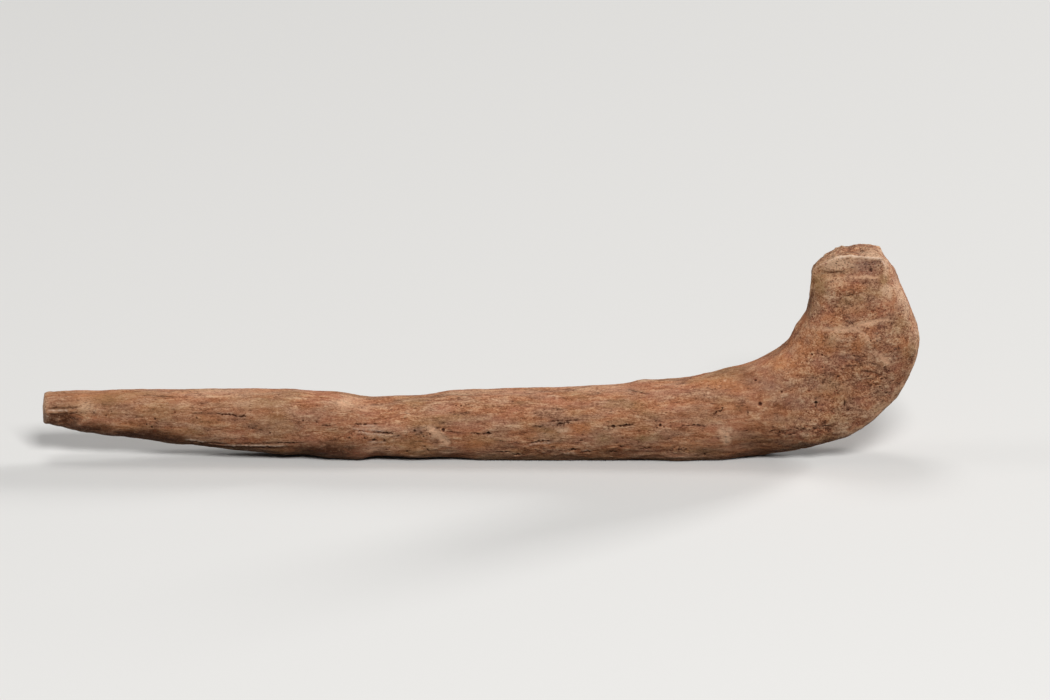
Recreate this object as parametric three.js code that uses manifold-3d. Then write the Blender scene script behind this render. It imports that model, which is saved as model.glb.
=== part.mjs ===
// A fish hook carved from a single piece of bone: a long tapered shank, a thick rounded bend and
// a short upright arm whose point has broken off. The hook lies in the XZ plane. The shank runs
// along X, from the line end at -X to the bend at +X, and the arm rises along +Z. Y is the
// thickness of the bone. The origin is on the floor, under the middle of the hook's length.
// Units are millimetres.
import * as THREE from "three";
import { mergeVertices } from "three/addons/utils/BufferGeometryUtils.js";
import Module from "manifold-3d";

// Overall sizes
const HOOK_LENGTH = 86.6; // from the cut line end to the back of the bend
const HOOK_HEIGHT = 21.2; // from the belly flat to the highest part of the break

// Shank
const BACK_HEIGHT = 6.65; // the straight back edge above the floor
const WAIST_DROP = 0.9; // how far the worn waist lies below the back edge
const BEND_RISE = 1.55; // how far the back climbs before it turns into the throat
const LINE_END_DEPTH = 2.45; // height of the cut end
const LINE_END_LIFT = 3.8; // underside of the cut end above the floor
const LINE_END_THICKNESS = 2.6;
const TAPER_THICKNESS = 4.6; // across the tapered stretch that the line is bound round
const SHANK_THICKNESS = 6.4;

// Bend and arm
const ARM_FOOT_WIDTH = 12.1; // from the throat to the back of the bend
const ARM_SHOULDER_WIDTH = 10.1;
const ARM_NECK_WIDTH = 8.9;
const ARM_TOP_WIDTH = 5.9;
const BEND_THICKNESS = 7.4;
const ARM_THICKNESS = 6.4;
const ARM_TOP_THICKNESS = 4.2;

// Flats and the break
const BELLY_FLAT_WIDTH = 3.6; // worn flat that the hook stands on
const LASHING_FLAT_LENGTH = 16.0; // flat on the back of the line end, where the line is bound on
const LASHING_FLAT_WIDTH = 2.0;
const BREAK_INSET = 1.9; // how far the corner of the break lies inside the throat line
const BREAK_LEVEL_TILT = 5; // degrees, falling towards the throat side
const BREAK_CHAMFER_WIDTH = 3.0; // how far the slanting part of the break reaches across the arm
const BREAK_CHAMFER_TILT = 37; // degrees below level

// Section shape: 2 is an ellipse, and higher is a flatter face with tighter corners
const SHANK_SQUARENESS = 2.3;
const BEND_SQUARENESS = 2.7;
const ARM_SQUARENESS = 3.2;

// Mesh
const STEPS_ALONG = 76;
const STEPS_AROUND = 28;
const CUTTER_SIZE = 60;
const MERGE_DISTANCE = 1e-4;

const LINE_END_X = -HOOK_LENGTH / 2;
const BACK_OF_BEND_X = HOOK_LENGTH / 2;
const THROAT_X = BACK_OF_BEND_X - ARM_FOOT_WIDTH;
const SHANK_RUN = THROAT_X - LINE_END_X;
const LINE_END_TOP = LINE_END_LIFT + LINE_END_DEPTH;
const LASHING_SLOPE = (BACK_HEIGHT - LINE_END_TOP) / LASHING_FLAT_LENGTH;

// How deep a flat of the given width cuts into a rounded section.
function flatDepth(width, sectionDepth, thickness, squareness) {
  const across = width / thickness;
  return (sectionDepth / 2) * (1 - (1 - across ** squareness) ** (1 / squareness));
}

const BELLY_SINK = flatDepth(BELLY_FLAT_WIDTH, BACK_HEIGHT, SHANK_THICKNESS, SHANK_SQUARENESS);
const LASHING_SINK = flatDepth(
  LASHING_FLAT_WIDTH,
  (LINE_END_DEPTH + BACK_HEIGHT) / 2,
  TAPER_THICKNESS,
  SHANK_SQUARENESS,
);

// A rib is one cross-section. Its inner edge lies on the back of the shank and the throat side of
// the arm, and its outer edge on the belly and the back of the bend. Each edge is an [x, z] pair.
function rib(inner, outer, thickness, squareness) {
  return { inner, outer, thickness, squareness };
}

// A rib across the shank. Shares run along the shank from the line end, 0, to the throat, 1.
function shankRib(backShare, backZ, bellyShare, bellyZ, thickness) {
  return rib(
    [LINE_END_X + backShare * SHANK_RUN, backZ],
    [LINE_END_X + bellyShare * SHANK_RUN, bellyZ],
    thickness,
    SHANK_SQUARENESS,
  );
}

// A rib in the bend. Across runs from the throat, 0, to the back of the bend, 1, and up runs from
// the floor, 0, to the break, 1.
function bendRib([innerAcross, innerUp], [outerAcross, outerUp], thickness, squareness) {
  return rib(
    [THROAT_X + innerAcross * ARM_FOOT_WIDTH, innerUp * HOOK_HEIGHT],
    [THROAT_X + outerAcross * ARM_FOOT_WIDTH, outerUp * HOOK_HEIGHT],
    thickness,
    squareness,
  );
}

// A rib across the arm, as wide as stated, from its throat side.
function armRib([innerAcross, innerUp], width, outerUp, thickness) {
  const x = THROAT_X + innerAcross * ARM_FOOT_WIDTH;
  return rib(
    [x, innerUp * HOOK_HEIGHT],
    [x + width, outerUp * HOOK_HEIGHT],
    thickness,
    ARM_SQUARENESS,
  );
}

const ROUNDED_END_SHARE = 0.78; // how much of its depth the cut end keeps inside its worn rim
const endMiddle = LINE_END_LIFT + LINE_END_DEPTH / 2;
const endHalf = (LINE_END_DEPTH / 2) * ROUNDED_END_SHARE;
const belly = -BELLY_SINK;
const taperBelly = (share) => LINE_END_LIFT * share;
const back = (share) => BACK_HEIGHT + BEND_RISE * share;
const waist = (share) => BACK_HEIGHT - WAIST_DROP * share;

// The uncut back over the lashing flat, far enough above it to leave the flat its width.
const lashingBack = (share) => LINE_END_TOP + LASHING_SLOPE * SHANK_RUN * share + LASHING_SINK;

const ribs = [
  // Line end and the taper
  shankRib(0, endMiddle + endHalf, 0, endMiddle - endHalf, LINE_END_THICKNESS),
  shankRib(0.009, lashingBack(0.009), 0.008, LINE_END_LIFT, LINE_END_THICKNESS * 1.12),
  shankRib(0.037, lashingBack(0.037), 0.033, taperBelly(0.8), TAPER_THICKNESS * 0.8),
  shankRib(0.12, lashingBack(0.12), 0.12, taperBelly(0.52), TAPER_THICKNESS),
  shankRib(0.23, back(-0.04), 0.23, taperBelly(0.24), TAPER_THICKNESS * 1.2),
  shankRib(0.345, back(0), 0.345, taperBelly(0.03), SHANK_THICKNESS * 0.97),
  // The worn waist
  shankRib(0.4, waist(0.45), 0.4, belly * 0.45, SHANK_THICKNESS),
  shankRib(0.445, waist(1), 0.445, belly, SHANK_THICKNESS * 0.97),
  shankRib(0.54, waist(0.2), 0.54, belly, SHANK_THICKNESS),
  // The straight shank
  shankRib(0.65, back(0.06), 0.65, belly, SHANK_THICKNESS * 1.02),
  shankRib(0.75, back(0.23), 0.76, belly, SHANK_THICKNESS * 1.05),
  shankRib(0.83, back(0.62), 0.85, belly, (SHANK_THICKNESS + BEND_THICKNESS) / 2),
  // The bend
  shankRib(0.9, back(1), 0.935, belly * 0.6, BEND_THICKNESS * 0.97),
  bendRib([-0.37, 0.436], [-0.04, 0.03], BEND_THICKNESS, SHANK_SQUARENESS),
  bendRib([-0.204, 0.484], [0.269, 0.075], BEND_THICKNESS, BEND_SQUARENESS),
  bendRib([-0.05, 0.56], [0.58, 0.15], BEND_THICKNESS, BEND_SQUARENESS),
  bendRib([0.045, 0.642], [0.865, 0.335], BEND_THICKNESS, BEND_SQUARENESS),
  bendRib([0.11, 0.712], [1, 0.54], BEND_THICKNESS * 0.97, ARM_SQUARENESS),
  // The arm, which runs on past the break before it is cut
  armRib([0.132, 0.8], ARM_SHOULDER_WIDTH, 0.69, ARM_THICKNESS),
  armRib([0.14, 0.87], ARM_NECK_WIDTH, 0.81, ARM_THICKNESS * 0.95),
  armRib([0.145, 0.96], (ARM_NECK_WIDTH + ARM_TOP_WIDTH) / 2, 0.95, ARM_TOP_THICKNESS * 1.05),
  armRib([0.19, 1.1], ARM_TOP_WIDTH, 1.08, ARM_TOP_THICKNESS),
];

// A closed body through all the ribs, with a flat cap on each end.
function loft(sections) {
  const spline = (pairs) => new THREE.CatmullRomCurve3(pairs, false, "centripetal");
  const innerEdge = spline(sections.map((s) => new THREE.Vector3(...s.inner, 0)));
  const outerEdge = spline(sections.map((s) => new THREE.Vector3(...s.outer, 0)));
  const girths = sections.map((s) => new THREE.Vector2(s.thickness, s.squareness));
  const girth = new THREE.SplineCurve(girths);

  const positions = [];
  const faces = [];
  for (let i = 0; i <= STEPS_ALONG; i++) {
    const t = i / STEPS_ALONG;
    const inner = innerEdge.getPoint(t);
    const outer = outerEdge.getPoint(t);
    const { x: thickness, y: squareness } = girth.getPoint(t);
    for (let j = 0; j < STEPS_AROUND; j++) {
      const turn = (2 * Math.PI * j) / STEPS_AROUND;
      const round = (value) => Math.sign(value) * Math.abs(value) ** (2 / squareness);
      const up = round(Math.cos(turn));
      const side = round(Math.sin(turn));
      positions.push(
        ((inner.x + outer.x) + (inner.x - outer.x) * up) / 2,
        (thickness / 2) * side,
        ((inner.y + outer.y) + (inner.y - outer.y) * up) / 2,
      );
    }
  }
  const at = (i, j) => i * STEPS_AROUND + (j % STEPS_AROUND);
  for (let i = 0; i < STEPS_ALONG; i++) {
    for (let j = 0; j < STEPS_AROUND; j++) {
      faces.push(at(i, j), at(i + 1, j), at(i + 1, j + 1));
      faces.push(at(i, j), at(i + 1, j + 1), at(i, j + 1));
    }
  }
  for (let j = 1; j < STEPS_AROUND - 1; j++) {
    faces.push(at(0, 0), at(0, j), at(0, j + 1));
    faces.push(at(STEPS_ALONG, 0), at(STEPS_ALONG, j + 1), at(STEPS_ALONG, j));
  }
  const geometry = new THREE.BufferGeometry();
  geometry.setAttribute("position", new THREE.Float32BufferAttribute(positions, 3));
  geometry.setIndex(faces);
  return geometry;
}

const wasm = await Module();
wasm.setup();

function solidOf(geometry) {
  const bare = geometry.clone();
  bare.deleteAttribute("normal");
  bare.deleteAttribute("uv");
  const merged = mergeVertices(bare, MERGE_DISTANCE);
  return new wasm.Manifold(
    new wasm.Mesh({
      numProp: 3,
      vertProperties: merged.attributes.position.array,
      triVerts: new Uint32Array(merged.index.array),
    }),
  );
}

function geometryOf(solid) {
  const mesh = solid.getMesh();
  const geometry = new THREE.BufferGeometry();
  geometry.setAttribute("position", new THREE.BufferAttribute(mesh.vertProperties, 3));
  geometry.setIndex(new THREE.BufferAttribute(mesh.triVerts, 1));
  geometry.computeVertexNormals();
  return geometry;
}

// A large block whose lower face passes through the point, turned about Y by the tilt in degrees.
// A positive tilt lets the face fall towards -X. It reaches the given lengths to either side.
function blockAbove([x, z], tilt, reachBack, reachForward) {
  const block = new THREE.BoxGeometry(reachBack + reachForward, CUTTER_SIZE, CUTTER_SIZE);
  block.translate((reachForward - reachBack) / 2, 0, CUTTER_SIZE / 2);
  block.rotateY(THREE.MathUtils.degToRad(-tilt));
  block.translate(x, 0, z);
  return solidOf(block);
}

function blockBelowFloor() {
  const block = new THREE.BoxGeometry(2 * HOOK_LENGTH, CUTTER_SIZE, CUTTER_SIZE);
  block.translate(0, 0, -CUTTER_SIZE / 2);
  return solidOf(block);
}

// The flat on the back of the line end falls towards the cut end.
const lashingFlat = blockAbove(
  [LINE_END_X, LINE_END_TOP],
  THREE.MathUtils.radToDeg(Math.atan(LASHING_SLOPE)),
  LASHING_FLAT_LENGTH,
  LASHING_FLAT_LENGTH,
);

// The break is nearly level across most of the arm and slants down on the throat side.
const breakX = THROAT_X + BREAK_INSET;
const levelBreak = blockAbove(
  [breakX + ARM_TOP_WIDTH, HOOK_HEIGHT],
  BREAK_LEVEL_TILT,
  ARM_FOOT_WIDTH,
  ARM_FOOT_WIDTH,
);
const slantingBreak = blockAbove(
  [breakX + BREAK_CHAMFER_WIDTH, HOOK_HEIGHT],
  BREAK_CHAMFER_TILT,
  ARM_TOP_WIDTH,
  0,
);

const carved = solidOf(loft(ribs))
  .subtract(blockBelowFloor())
  .subtract(lashingFlat)
  .subtract(levelBreak)
  .subtract(slantingBreak);

const bone = new THREE.MeshStandardMaterial({ color: 0xa87a5c, roughness: 0.85, metalness: 0 });

const hookBody = new THREE.Mesh(geometryOf(carved), bone);
hookBody.name = "hook_body";

const fishHook = new THREE.Group();
fishHook.add(hookBody);

export default fishHook;
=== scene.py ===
import math
import random

import bpy
import numpy as np
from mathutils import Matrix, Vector, kdtree, noise
from mathutils.bvhtree import BVHTree


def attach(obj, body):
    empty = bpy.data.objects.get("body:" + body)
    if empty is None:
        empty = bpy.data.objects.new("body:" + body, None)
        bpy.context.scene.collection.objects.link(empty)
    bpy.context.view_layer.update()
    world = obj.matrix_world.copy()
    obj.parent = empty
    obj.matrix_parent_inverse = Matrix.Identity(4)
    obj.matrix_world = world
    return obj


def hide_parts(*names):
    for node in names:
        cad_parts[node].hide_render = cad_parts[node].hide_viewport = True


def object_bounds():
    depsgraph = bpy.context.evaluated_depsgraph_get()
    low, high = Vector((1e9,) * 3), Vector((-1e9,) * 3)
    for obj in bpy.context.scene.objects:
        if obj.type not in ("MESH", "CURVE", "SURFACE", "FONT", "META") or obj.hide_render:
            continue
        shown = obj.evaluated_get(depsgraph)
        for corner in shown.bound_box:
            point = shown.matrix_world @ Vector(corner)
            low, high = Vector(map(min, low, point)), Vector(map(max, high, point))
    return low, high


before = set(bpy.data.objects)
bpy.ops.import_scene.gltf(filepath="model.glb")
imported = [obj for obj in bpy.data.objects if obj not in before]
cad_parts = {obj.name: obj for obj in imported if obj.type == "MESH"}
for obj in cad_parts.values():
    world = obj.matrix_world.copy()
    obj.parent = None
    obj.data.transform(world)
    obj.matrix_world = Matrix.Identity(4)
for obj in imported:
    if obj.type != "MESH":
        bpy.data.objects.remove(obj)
cad_low, cad_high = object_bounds()

MM = 0.001

# The photograph's view. Marks on the hook are placed by its pixels.
PHOTO_WIDTH = 1050
PHOTO_HEIGHT = 700
PIXELS_PER_METRE = 10100
VIEW_ELEVATION = math.radians(18)
VIEW_DISTANCE = 0.9
VIEW_TARGET = Vector((0.0045, 0, 0.01092))
SENSOR_WIDTH = 36
FARTHEST_SEEN = 20
BACKWARDS = Vector((0, -math.cos(VIEW_ELEVATION), math.sin(VIEW_ELEVATION)))
UPWARDS = Vector((0, math.sin(VIEW_ELEVATION), math.cos(VIEW_ELEVATION)))
EYE = VIEW_TARGET + VIEW_DISTANCE * BACKWARDS

# Every random choice follows from this seed.
SEED = 11

# The mesh: coarse while the form is carved, then fine, and divided once more near the cracks
MERGE_GAP = 1e-7
CARVING_VOXEL = 0.3 * MM
SURFACE_VOXEL = 0.13 * MM
REFINED_REACH = 0.2 * MM
WIDEST_CRACK = 0.3 * MM
MOST_TRIANGLES = 196_000

# Where the grain runs out of the shank and is cut across by the bend and the arm, and between
# which places it turns up the arm
GRAIN_ENDS = (22 * MM, 34 * MM)
GRAIN_TURN = (20 * MM, 36 * MM)

# The broken top of the arm: where it begins, how far up its faces look, how far the arm is drawn
# out before it is cut, and between which heights its torn relief grows to its full strength
BREAK_HEIGHT = 17.5 * MM
LOOKS_UP = 0.5
SPARE_ARM = 1.5 * MM
ARM_CUT_FROM = 16 * MM
TORN_HEIGHTS = (BREAK_HEIGHT, 18.3 * MM)

# How squarely the faces of the break look up, and those of the cut line end outwards
SQUARE_FACE = (0.45, 0.8)

# The knife flats: how many, their half lengths on the shank and the bend and their depths in
# millimetres, how far they are levelled along the grain, how far round their middle bone is cut,
# how far proud of them it may be, and how softly they end
FACETS = 150
SHANK_FACET = (3, 8)
BEND_FACET = (1.8, 3.5)
FACET_DEPTH = (0.05, 0.14)
FACET_LEVELLED = (0.4, 1)
FACET_ROUND = 1.6
FACET_PROUD = 1.3
FACET_TAPER = 0.5
FACET_EDGE = 0.04 * MM

# A place on the back where the photograph shows no flats: its pixel and its reach
ROUND_PLACE = (447, 402)
ROUND_REACH = 2.5 * MM

# The carved form is at most this thick, so that the worked surface keeps to the solid's size.
MOST_THICKNESS = 1.01 * (cad_high[1] - cad_low[1])

# How a mark is drawn: its steps, its wander in pixels, its thin ends and their run in pixels, the
# beads that it swells into, the share of its depth that is cut, and how far soil reaches from it
MARK_STEP = 0.06 * MM
RAGGED = 0.8
RAGGED_RATE = 0.35
THIN_END = 0.35
TAPER_RUN = 6
BEAD_MIDDLE = 0.9
BEAD_SWING = 1.1
BEAD_RATE = 0.4
BEAD_SHIFT = Vector((0, 0, 3))
THINNEST_BEAD = 0.1
THICKEST_BEAD = 1.3
CUT_SHARE = 0.7
CRACK_SOIL = 0.22 * MM

# How much wider marks show than they are cut, the full core of a scratch, the thinnest lines that
# the mesh holds, and how far a mark reaches at most
CRACK_SPREAD = 1.6
SCRATCH_SPREAD = 1.3
SCRATCH_CORE = 0.4
EDGE_SPREAD = 1.4
THINNEST_CRACK = 0.08 * MM
THINNEST_LINE = 0.15 * MM
MARK_REACH = 1 * MM

# A pit's half width and depth for its size
PIT_HALF_WIDTH = 0.55
PIT_DEPTH = 0.8

# The cracks and pits on the sides that the photograph doesn't show, in millimetres: how many, a
# crack's length on the shank and the bend, its width, its depth for its width, how it bows and
# wavers, and a pit's size
UNSEEN_FROM = -0.25
UNSEEN_CRACKS = 70
SHANK_CRACK = (1.2, 5.5)
BEND_CRACK = (0.5, 1.6)
CRACK_WIDTH = (0.08, 0.16)
CRACK_DEPTH = 1.7
CRACK_BOW = (-0.1, 0.1)
BOW_RUN = 3
WAVER = 0.25
WAVER_SIZE = 1.3 * MM
RISE_SHIFT = Vector((7, 0, 0))
UNSEEN_PITS = 120
PIT_SIZE = (0.08, 0.26)

# Noise: its size along and across the grain in millimetres, and its octaves
FORM_SWELL = (13, 3, 2)
LEDGE_EDGE = (0.9, 0.4, 3)
ROUGH_GRIT = (0.6, 0.4, 4)

# The relief: the noise of its fibres and their share, and the noise and the number of its layers
SHANK_RELIEF = ((1, 0.28, 4), 0.6, (4, 0.9, 3), 5)
BEND_RELIEF = ((0.5, 0.3, 4), 0.5, (1.9, 1, 3), 5)
TORN_RELIEF = ((0.45, 0.4, 4), 0.5, (1.5, 1, 4), 4)

# How high the relief stands, in millimetres, and the heights between which a layer steps up
SWELL_HEIGHT = 0.07
GRAIN_HEIGHT = 0.05
TORN_HEIGHT = 0.17
ROUGH_HEIGHT = 0.08
LAYER_STEP = (0.35, 0.65)

# How worn and how proud a place is: the rounds of smoothing that it is compared with, and the
# height that takes its mask from none to full
WORN = (60, 0.3 * MM)
PROUD = (8, 0.08 * MM)

# A mark is a crack, a scratch or a pale line: its route in pixels of the photograph, and its width
# and depth in millimetres.
CRACKS = [
    # The long crack near the line end, deepest at its right
    ([(192, 413.4), (208, 412.8), (223, 413.8)], 0.08, 0.1),
    ([(214, 413.2), (226, 414.3), (238, 415.8)], 0.2, 0.3),
    ([(228, 414.6), (238, 416.2), (246, 416.6)], 0.18, 0.3),
    # A few ticks across the grain
    ([(249.4, 425.6), (249.8, 427.8)], 0.12, 0.12),
    ([(251.6, 424.8), (252, 428)], 0.12, 0.14),
    ([(253.8, 425), (254, 427.6)], 0.12, 0.12),
    ([(255.8, 425.8), (256, 427.4)], 0.1, 0.1),
    # Slits across the bend
    ([(815.6, 399), (816, 404), (816.2, 408.6)], 0.28, 0.4),
    ([(844.2, 399.8), (844.8, 403), (844.6, 406)], 0.2, 0.28),
    ([(747.6, 411), (748, 415.6)], 0.16, 0.2),
    ([(714.6, 414.6), (717.4, 410.4)], 0.14, 0.18),
    ([(719, 412.6), (723.6, 407.6)], 0.14, 0.18),
    # The lower crack along the belly edge
    ([(184, 441), (205, 442.6), (222, 443.8)], 0.1, 0.14),
    ([(238, 443.4), (250, 443.6), (262, 444)], 0.08, 0.12),
    ([(262, 443.8), (278, 443.4), (290, 443.2), (304, 442.8)], 0.12, 0.2),
    # The two lines along the cut line end
    ([(48, 408.2), (56, 407.8), (65, 408.2), (71, 407.3), (78, 407.8)], 0.11, 0.14),
    ([(47, 413.2), (52, 414.2), (60, 414.4), (66, 413.4), (74, 412.6), (85, 412.8)], 0.1, 0.1),
    # Rows of short dashes left of the slanting scratch
    ([(322, 425.6), (331, 425.8)], 0.16, 0.25),
    ([(355, 424.3), (362, 424.1), (369, 424.1)], 0.16, 0.22),
    ([(372, 423.7), (377, 423.7)], 0.14, 0.2),
    ([(354, 430.6), (366, 431.5)], 0.1, 0.14),
    ([(374, 432), (386, 433), (393, 433.4)], 0.16, 0.24),
    ([(347, 438), (352, 438.2)], 0.2, 0.26),
    ([(362, 438.2), (367, 438.6)], 0.2, 0.26),
    ([(369, 440.1), (379, 440.4)], 0.16, 0.24),
    ([(382, 441), (388, 441.2)], 0.18, 0.24),
    ([(392, 436.4), (402, 435.6)], 0.1, 0.14),
    ([(423, 446), (426.6, 448.6), (430, 452.4)], 0.14, 0.2),
    # Between the slanting scratch and the middle
    ([(434, 427.8), (440, 428.2)], 0.16, 0.22),
    ([(447, 431), (455, 432.6), (463, 433.6)], 0.08, 0.1),
    ([(471, 433.4), (481, 433.7)], 0.26, 0.34),
    ([(483, 433.8), (492, 433.6)], 0.24, 0.32),
    ([(496, 441), (506, 441.8)], 0.12, 0.16),
    ([(511, 443.4), (520, 442.2)], 0.12, 0.16),
    ([(530, 442.9), (540, 441.8), (553, 440.8)], 0.16, 0.26),
    ([(533, 426.3), (543, 426.7)], 0.16, 0.2),
    ([(549, 421.6), (557, 420.4), (566, 421.2), (580, 419.6)], 0.13, 0.18),
    ([(556, 424.2), (561, 423.4), (563, 423.2)], 0.36, 0.4),
    ([(565, 422.8), (570, 422.2)], 0.26, 0.34),
    ([(557.8, 422), (557.2, 426.6)], 0.24, 0.3),
    ([(561, 421.4), (560.4, 426)], 0.28, 0.34),
    ([(564.4, 421.4), (563.8, 425)], 0.22, 0.3),
    ([(568.8, 420.8), (568.2, 424)], 0.18, 0.24),
    ([(495, 451.8), (512, 452.2)], 0.14, 0.2),
    ([(512, 454.4), (526, 454.6)], 0.2, 0.26),
    ([(568, 450.4), (577, 450.2)], 0.24, 0.34),
    ([(581, 452.2), (592, 451.8)], 0.18, 0.26),
    ([(579, 441.4), (583, 440.8)], 0.16, 0.2),
    # From the middle to the bend
    ([(608, 426.6), (620, 426), (633, 424.6)], 0.22, 0.3),
    ([(608.6, 427), (608.8, 430)], 0.14, 0.16),
    ([(679.3, 428.4), (682.6, 426.2), (694, 425.2), (706, 426.2)], 0.12, 0.16),
    ([(665, 439.6), (671, 439)], 0.12, 0.14),
    ([(610, 452), (617, 451.8)], 0.2, 0.26),
    ([(619, 447), (624, 446.8)], 0.16, 0.2),
    ([(640, 449), (652, 448.2)], 0.16, 0.22),
    ([(648, 394), (636, 391), (628, 389.6)], 0.12, 0.12),
    # The rows of holes along the lower edge of the bend
    ([(744, 431), (752, 430.6)], 0.12, 0.14),
    ([(770, 431.2), (777, 430)], 0.18, 0.2),
    ([(778, 433), (784, 432)], 0.22, 0.28),
    ([(788, 434.6), (797, 433.6)], 0.18, 0.2),
    ([(794, 428.8), (799, 428.8)], 0.22, 0.26),
    ([(801, 429.4), (806, 429)], 0.18, 0.22),
    ([(812, 428.6), (817, 428.6)], 0.18, 0.22),
    ([(820, 426.4), (832, 426)], 0.14, 0.16),
    # Below the break
    ([(822, 272.6), (834, 272.6), (845, 271)], 0.08, 0.1),
    ([(842, 296.4), (850, 295.4), (861, 292.4)], 0.12, 0.08),
    ([(852.6, 355.6), (860, 357.4), (868, 356.6)], 0.12, 0.14),
    ([(862, 371), (872, 372), (884, 376)], 0.1, 0.12),
    ([(846, 366), (858, 366), (870, 363), (880, 366)], 0.09, 0.1),
    ([(866, 379), (876, 379)], 0.1, 0.12),
]

SCRATCHES_AND_RIM_HIGHLIGHTS = [
    # The slanting scratch at the middle of the shank
    ([(430, 427.4), (434, 432), (438.6, 437)], 0.9, 0.06),
    ([(437, 432.6), (441, 436.6), (445, 441), (448.6, 444)], 0.5, 0.05),
    # The pale line across the arm, and its branch
    ([(806, 327), (813, 328), (823, 329.6), (835, 330)], 0.24, 0.04),
    ([(831, 330.2), (840, 329), (848, 330), (858, 326.6)], 0.36, 0.05),
    ([(854, 328), (860, 324.6), (868, 323.6), (874, 321), (890, 318.6)], 0.34, 0.06),
    ([(856, 329), (864, 334), (870, 341)], 0.34, 0.04),
    ([(876, 352), (882, 357), (890, 365)], 0.5, 0.03),
    ([(555.6, 391.6), (557.6, 402.6)], 0.12, 0.02),
    # The chipped spot before the bend
    ([(719.6, 429), (722, 434), (724.4, 443)], 0.34, 0.03),
    ([(726.6, 430), (728.6, 437), (729.6, 443)], 0.26, 0.03),
    ([(736.4, 431), (734, 434.8)], 0.3, 0.02),
    ([(720, 448.6), (728, 450), (735, 449.6)], 0.12, 0.0),
    # The edge of the step below the break
    ([(846, 277), (858, 277.6), (868, 277), (878, 278)], 0.24, -0.02),
    # The scraped slope that falls into the waist
    ([(338, 401.4), (344, 403.4), (349, 406.6)], 0.34, 0.05),
    ([(349, 397), (358, 398.4), (368, 398)], 0.16, 0.02),
    ([(361, 409.4), (366, 410.6), (371, 411.6)], 0.24, 0.04),
    # The pale rim round the heel and up the right edge of the arm: a worn edge, with a painted highlight
    # where the light from behind catches it
    ([(858, 429.2), (872.4, 419.2), (885, 407)], 0.26, 0.0),
    ([(883, 409), (896.2, 391.6), (906.6, 377.6)], 0.2, 0.0),
    ([(905, 380), (913, 365), (916.6, 350), (917, 338)], 0.18, 0.0),
]

# Pale edges that stand up a little
EDGES = [
    # The lips of the cracks on the belly
    ([(186, 439.4), (194, 440.2), (206, 441.2)], 0.3, 0.05),
    ([(225, 445.2), (245, 445.4), (262, 445.8), (284, 446)], 0.22, 0.05),
    ([(529, 444.4), (540, 443.4), (553, 442.8)], 0.11, 0.04),
    ([(582, 450.4), (592, 450.2)], 0.12, 0.04),
    ([(560, 453), (577, 452.8)], 0.1, 0.04),
    ([(360, 425.8), (378, 425.6)], 0.1, 0.03),
    ([(353, 428.6), (368, 429.6), (384, 431)], 0.1, 0.03),
    ([(356, 432), (372, 433.8), (384, 434.8)], 0.1, 0.03),
    ([(368, 441.8), (386, 442.6)], 0.1, 0.03),
    # The sharp rim of the break, its slanting end and the step below it
    ([(814, 270), (818, 264.6), (826, 261.6), (838, 258)], 0.1, 0.03),
    ([(834, 259), (847.5, 255.4), (854, 256.4), (866, 257.4)], 0.26, 0.04),
    ([(862, 257), (872, 257.6), (881, 258.4)], 0.32, 0.04),
    ([(880, 258.2), (883, 262), (886, 268)], 0.14, 0.02),
    # The band between the two lines along the cut line end, and the rim of the cut
    ([(48, 410.8), (58, 410.6), (70, 410.2)], 0.16, 0.03),
    ([(43, 412), (46, 415.8), (48, 416.4)], 0.14, 0.02),
]

# A pit is a pixel of the photograph and a size in millimetres.
PITS = [
    (106, 415.6, 0.14), (111.6, 411.6, 0.12), (146.6, 424.6, 0.18), (151.6, 427.6, 0.2),
    (155, 419, 0.18), (175, 412.4, 0.14), (244, 415.8, 0.26), (270, 433, 0.16), (303, 420.6, 0.18),
    (316.6, 422, 0.18), (358, 424.2, 0.2), (349.4, 438, 0.24), (364.3, 438.4, 0.24), (384.4, 441, 0.24),
    (392.4, 433.4, 0.26), (407, 451.8, 0.22), (414.6, 431.2, 0.22), (421, 433.6, 0.14),
    (423.6, 437, 0.18), (424, 427.6, 0.12), (430, 434.4, 0.2), (426.6, 430, 0.12), (443.2, 430.2, 0.32),
    (461, 405.6, 0.2), (456, 405.4, 0.16), (558, 423.8, 0.34), (562, 423.4, 0.34), (567, 422.4, 0.26),
    (656, 421, 0.14), (660.2, 425.6, 0.26), (657, 428, 0.16), (664, 427, 0.14), (620.3, 447, 0.22),
    (610.8, 452, 0.26), (704.6, 454.7, 0.24), (679, 449, 0.14), (684, 452, 0.14), (673, 450, 0.12),
    (716, 412.6, 0.22), (719, 411, 0.16), (722.4, 408.2, 0.22), (714, 414, 0.14), (718, 416, 0.12),
    (748, 412.6, 0.14), (760, 404.2, 0.34), (755.4, 380, 0.22), (781.6, 392, 0.2), (816, 406.6, 0.24),
    (844.6, 405, 0.2), (845, 402.6, 0.16), (822.4, 367.6, 0.2), (811.8, 354.6, 0.2), (822, 355, 0.18),
    (870.6, 341, 0.16), (877, 340.4, 0.14), (886.6, 393, 0.2), (880, 387, 0.16), (871, 270, 0.32),
    (854, 356, 0.2), (780, 432.6, 0.22), (815, 428.6, 0.2), (248.6, 427, 0.14), (251.6, 426, 0.12),
    (252.4, 428.6, 0.16), (255.6, 426.6, 0.14), (868, 377, 0.14), (873, 379.6, 0.16), (861, 376, 0.12),
    (889, 371, 0.14), (893, 381, 0.16),
]

# How far a stain, a painted shade or highlight, or a rough place reaches through the bone, in
# millimetres
SPOT_DEPTH = 2.5
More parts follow.
